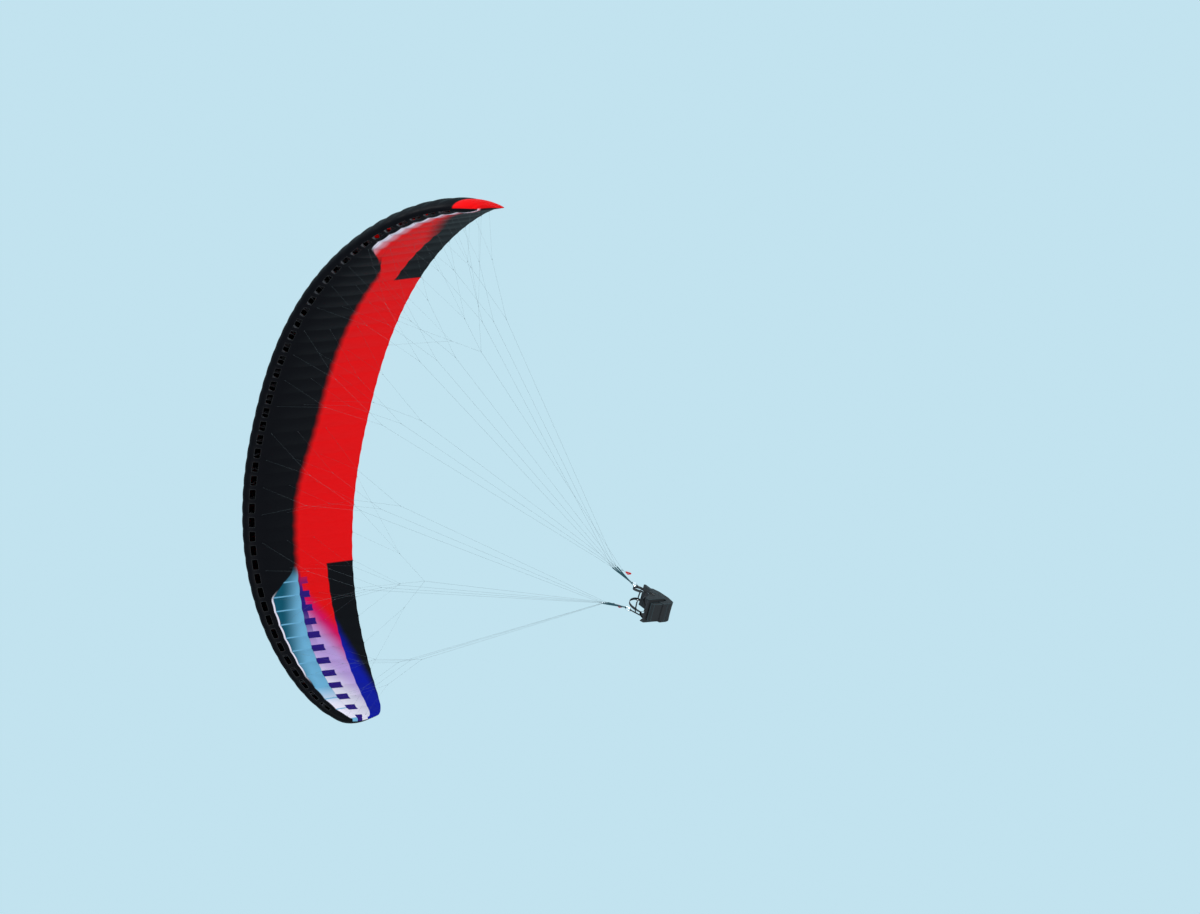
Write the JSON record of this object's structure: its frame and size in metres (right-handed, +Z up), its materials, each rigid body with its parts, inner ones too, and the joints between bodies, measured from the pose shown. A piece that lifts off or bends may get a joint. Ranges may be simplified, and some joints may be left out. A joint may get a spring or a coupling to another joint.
{
  "type": "paraglider",
  "caption": "Arched ram-air soaring wing with forked suspension lines, risers, brake toggles and a hanging seat harness.",
  "frame": {"origin": "on the centre rib's lower skin, a third of the chord back from the nose", "axes": "+X to the flyer's left, -Y the way it flies, +Z up"},
  "size_m": [9.4708, 2.75, 9.023],
  "materials": {
    "cloth_black": "ripstop nylon, faintly glossy",
    "cloth_red": "ripstop nylon, faintly glossy",
    "line": "coated cord",
    "webbing": "woven polyester webbing",
    "metal": "anodised",
    "grip": "padded webbing",
    "harness_cloth": "coated nylon"
  },
  "bodies": {
    "canopy": {"centre_cells": "cloth_black", "mid_cells_left": "cloth_black", "tip_cells_left": "cloth_black", "line_A1_left": "line", "line_A2_left": "line", "line_A3_left": "line", "line_B1_left": "line", "line_B2_left": "line", "line_B3_left": "line", "line_C1_left": "line", "line_C2_left": "line", "line_C3_left": "line", "brake_main_line_left": "line", "brake_fan_1_left": "line", "brake_fan_2_left": "line", "brake_fan_3_left": "line", "brake_cord_left": "line", "riser_left": "webbing", "carabiner_frame_left": "metal", "mid_cells_right": "cloth_black", "tip_cells_right": "cloth_black", "line_A1_right": "line", "line_A2_right": "line", "line_A3_right": "line", "line_B1_right": "line", "line_B2_right": "line", "line_B3_right": "line", "line_C1_right": "line", "line_C2_right": "line", "line_C3_right": "line", "brake_main_line_right": "line", "brake_fan_1_right": "line", "brake_fan_2_right": "line", "brake_fan_3_right": "line", "brake_cord_right": "line", "riser_right": "webbing", "carabiner_frame_right": "metal"},
    "harness": {"seat_cushion": "harness_cloth", "seat_bucket": "harness_cloth", "back_rest": "harness_cloth", "back_protector": "harness_cloth", "reserve_container": "harness_cloth", "reserve_handle": "grip", "main_strap_left": "webbing", "main_strap_right": "webbing", "shoulder_strap_left": "harness_cloth", "shoulder_strap_right": "harness_cloth", "chest_strap": "webbing", "leg_straps": "webbing"},
    "inner_flap_left": {"inner_flap_left": "cloth_red"},
    "middle_flap_left": {"middle_flap_left": "cloth_red"},
    "outer_flap_left": {"outer_flap_left": "cloth_red"},
    "toggle_left": {"brake_toggle_left": "grip"},
    "gate_left": {"carabiner_gate_left": "metal"},
    "inner_flap_right": {"inner_flap_right": "cloth_red"},
    "middle_flap_right": {"middle_flap_right": "cloth_red"},
    "outer_flap_right": {"outer_flap_right": "cloth_red"},
    "toggle_right": {"brake_toggle_right": "grip"},
    "gate_right": {"carabiner_gate_right": "metal"}
  },
  "joints": [
    {"name": "harness_pitch", "type": "hinge", "parent": "canopy", "child": "harness", "pos_m": [0, -0.09, -7.9], "axis": [1, 0, 0], "range_deg": [-25, 35]},
    {"name": "brake_left", "type": "slide", "parent": "canopy", "child": "toggle_left", "axis": [0, 0, -1], "range_m": [0, 0.55], "deforming": ["brake_cord_left", "brake_main_line_left", "brake_fan_1_left", "brake_fan_2_left", "brake_fan_3_left"]},
    {"name": "inner_flap_left_hinge", "type": "hinge", "parent": "canopy", "child": "inner_flap_left", "pos_m": [0.99395, 1.01004, 0.03208], "axis": [-0.9683, 0.0199, 0.249], "range_deg": [0, 35]},
    {"name": "middle_flap_left_hinge", "type": "hinge", "parent": "canopy", "child": "middle_flap_left", "pos_m": [2.41387, 0.98072, -0.33645], "axis": [-0.8515, 0.0259, 0.5237], "range_deg": [0, 35]},
    {"name": "outer_flap_left_hinge", "type": "hinge", "parent": "canopy", "child": "outer_flap_left", "pos_m": [3.65877, 0.94271, -1.1067], "axis": [-0.6702, 0.051, 0.7404], "range_deg": [0, 35]},
    {"name": "gate_left", "type": "hinge", "parent": "canopy", "child": "gate_left", "pos_m": [0.188, -0.09, -7.882], "axis": [0, 1, 0], "range_deg": [0, 25], "stiffness_Nm_per_rad": 0.3, "springref_deg": -11.46},
    {"name": "brake_right", "type": "slide", "parent": "canopy", "child": "toggle_right", "axis": [0, 0, -1], "range_m": [0, 0.55], "deforming": ["brake_cord_right", "brake_main_line_right", "brake_fan_1_right", "brake_fan_2_right", "brake_fan_3_right"]},
    {"name": "inner_flap_right_hinge", "type": "hinge", "parent": "canopy", "child": "inner_flap_right", "pos_m": [-0.99395, 1.01004, 0.03208], "axis": [-0.9683, -0.0199, -0.249], "range_deg": [0, 35]},
    {"name": "middle_flap_right_hinge", "type": "hinge", "parent": "canopy", "child": "middle_flap_right", "pos_m": [-2.41387, 0.98072, -0.33645], "axis": [-0.8515, -0.0259, -0.5237], "range_deg": [0, 35]},
    {"name": "outer_flap_right_hinge", "type": "hinge", "parent": "canopy", "child": "outer_flap_right", "pos_m": [-3.65877, 0.94271, -1.1067], "axis": [-0.6702, -0.051, -0.7404], "range_deg": [0, 35]},
    {"name": "gate_right", "type": "hinge", "parent": "canopy", "child": "gate_right", "pos_m": [-0.188, -0.09, -7.882], "axis": [0, -1, 0], "range_deg": [0, 25], "stiffness_Nm_per_rad": 0.3, "springref_deg": -11.46}
  ],
  "couplings": [
    {"joint": "inner_flap_left_hinge", "follows": "brake_left", "rad_per_m": 1.11},
    {"joint": "middle_flap_left_hinge", "follows": "brake_left", "rad_per_m": 1.11},
    {"joint": "outer_flap_left_hinge", "follows": "brake_left", "rad_per_m": 1.11},
    {"joint": "inner_flap_right_hinge", "follows": "brake_right", "rad_per_m": 1.11},
    {"joint": "middle_flap_right_hinge", "follows": "brake_right", "rad_per_m": 1.11},
    {"joint": "outer_flap_right_hinge", "follows": "brake_right", "rad_per_m": 1.11}
  ]
}
